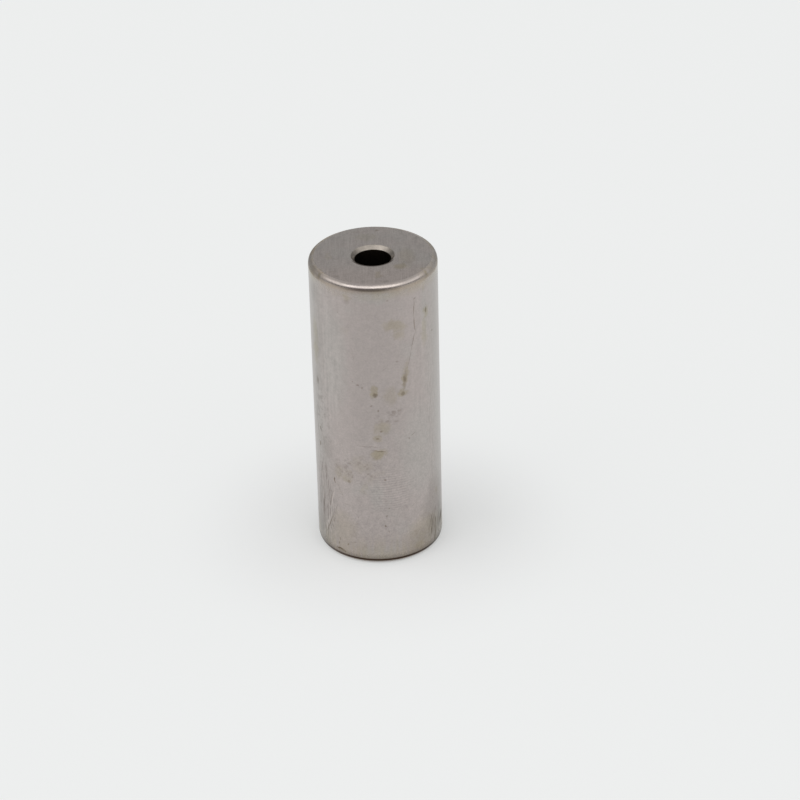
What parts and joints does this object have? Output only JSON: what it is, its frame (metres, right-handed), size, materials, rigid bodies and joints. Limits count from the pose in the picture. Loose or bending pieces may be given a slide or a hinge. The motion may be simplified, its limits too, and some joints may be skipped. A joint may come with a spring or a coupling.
{
  "type": "crank pin",
  "caption": "Plain steel crank pin: a ground cylinder with eased ends and a countersunk hole through its axis.",
  "frame": {"origin": "centre of the lower end face, where the pin stands", "axes": "+Z along the pin's axis, from the lower end face to the upper one"},
  "size_m": [0.02, 0.02, 0.0506],
  "materials": {
    "ground_steel": "hardened and ground, satin, with an oily film, faint tan stains and handling marks"
  },
  "bodies": {
    "root": {"crank_pin": "ground_steel"}
  },
  "joints": []
}
